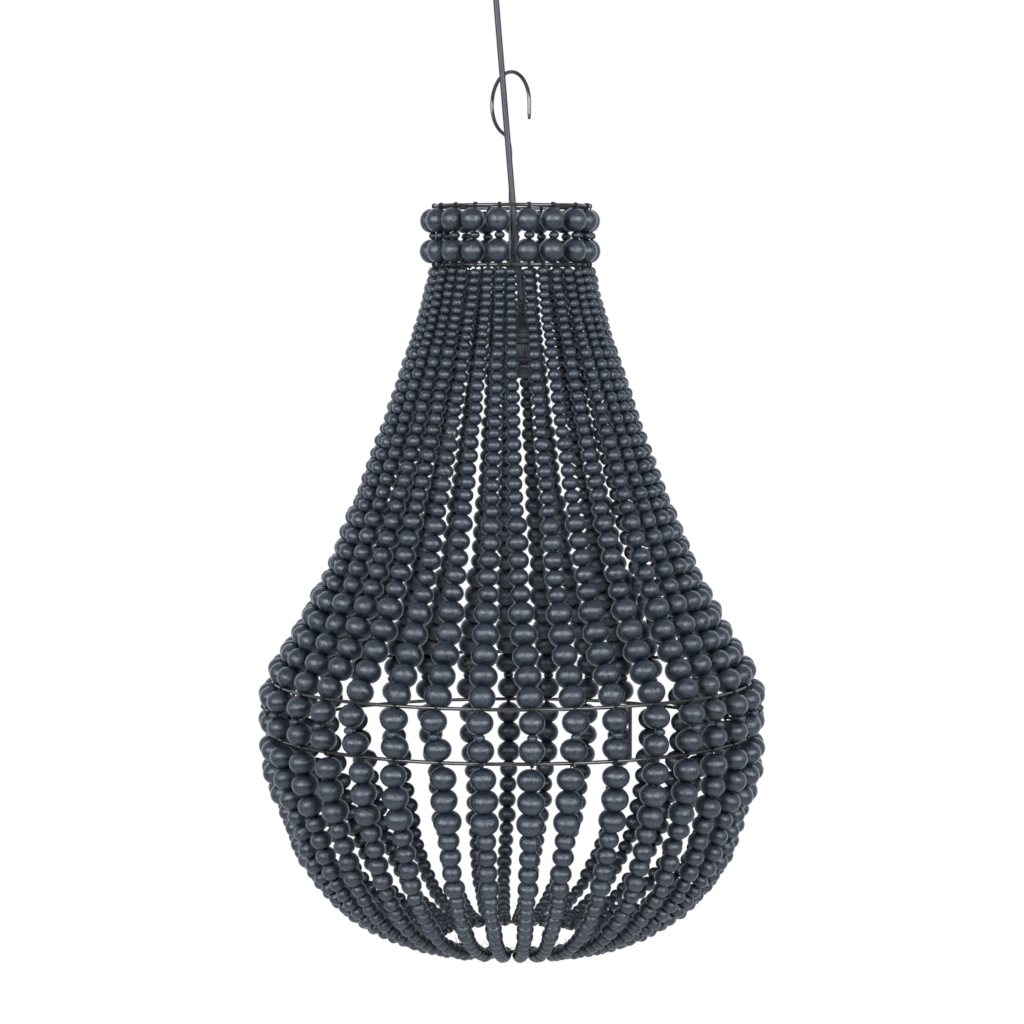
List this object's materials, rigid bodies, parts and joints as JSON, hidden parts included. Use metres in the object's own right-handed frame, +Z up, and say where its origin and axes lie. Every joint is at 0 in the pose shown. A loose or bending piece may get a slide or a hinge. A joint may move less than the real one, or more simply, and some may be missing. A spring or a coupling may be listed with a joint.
{
  "type": "beaded chandelier",
  "caption": "Pear-shaped pendant chandelier of dark wooden bead strings on wire hoops, with a beaded collar, lamp holder, wire hook, cord and ceiling cup",
  "frame": {"origin": "on the ceiling, in the middle of the top face of the ceiling plate", "axes": "+Z up into the ceiling, +X to the right as the picture shows the chandelier, -Y towards the viewer; the shade's own axis is upright and lies 16.9 mm to the +X side of the origin"},
  "size_m": [0.5076, 0.5074, 0.9872],
  "materials": {
    "bead_wood": "turned wood beads in a charcoal blue-grey stain, satin",
    "frame_wire": "black glossy paint on steel wire",
    "cord_sheath": "dark grey satin cord sheath",
    "fitting_plastic": "black satin moulding",
    "white_ceramic": "off-white glazed insulator",
    "contact_brass": "bright pressed brass",
    "plate_steel": "zinc-plated steel"
  },
  "bodies": {
    "ceiling_fitting": {"ceiling_plate": "plate_steel", "ceiling_cup": "fitting_plastic", "terminal_block": "white_ceramic", "cup_screw_right": "plate_steel", "cup_screw_left": "plate_steel"},
    "bush": {"cord_bush": "fitting_plastic"},
    "pendant": {"pendant_cord": "cord_sheath", "cord_grip": "fitting_plastic", "holder_cap": "fitting_plastic", "contact_block": "white_ceramic", "centre_contact": "contact_brass", "screw_shell": "contact_brass", "holder_body": "fitting_plastic", "shade_ring": "fitting_plastic", "holder_carrier": "frame_wire", "hook_bar": "frame_wire", "collar_lower_ring": "frame_wire", "collar_top_ring": "bead_wood", "upper_hoop": "frame_wire", "lower_hoop": "frame_wire", "mouth_ring": "frame_wire", "bead_string_01": "bead_wood", "bead_string_02": "bead_wood", "bead_string_03": "bead_wood", "bead_string_04": "bead_wood", "bead_string_05": "bead_wood", "bead_string_06": "bead_wood", "bead_string_07": "bead_wood", "bead_string_08": "bead_wood", "bead_string_09": "bead_wood", "bead_string_10": "bead_wood", "bead_string_11": "bead_wood", "bead_string_12": "bead_wood", "bead_string_13": "bead_wood", "bead_string_14": "bead_wood", "bead_string_15": "bead_wood", "bead_string_16": "bead_wood", "bead_string_17": "bead_wood", "bead_string_18": "bead_wood", "bead_string_19": "bead_wood", "bead_string_20": "bead_wood", "bead_string_21": "bead_wood", "bead_string_22": "bead_wood", "bead_string_23": "bead_wood", "bead_string_24": "bead_wood", "bead_string_25": "bead_wood", "bead_string_26": "bead_wood", "bead_string_27": "bead_wood", "bead_string_28": "bead_wood", "bead_string_29": "bead_wood", "bead_string_30": "bead_wood", "bead_string_31": "bead_wood", "bead_string_32": "bead_wood", "bead_string_33": "bead_wood", "bead_string_34": "bead_wood", "bead_string_35": "bead_wood", "bead_string_36": "bead_wood"},
    "hook": {"hanging_hook": "frame_wire"}
  },
  "joints": [
    {"name": "swing_sideways", "type": "hinge", "parent": "ceiling_fitting", "child": "bush", "pos_m": [0, 0, -0.034], "axis": [0, 1, 0], "range_deg": [-15, 15]},
    {"name": "swing_to_and_fro", "type": "hinge", "parent": "bush", "child": "pendant", "pos_m": [0, 0, -0.034], "axis": [1, 0, 0], "range_deg": [-15, 15]},
    {"name": "hook_tilt", "type": "hinge", "parent": "pendant", "child": "hook", "pos_m": [0.01536, 0.0054, -0.309], "axis": [-1, 0, 0], "range_deg": [0, 45]}
  ]
}
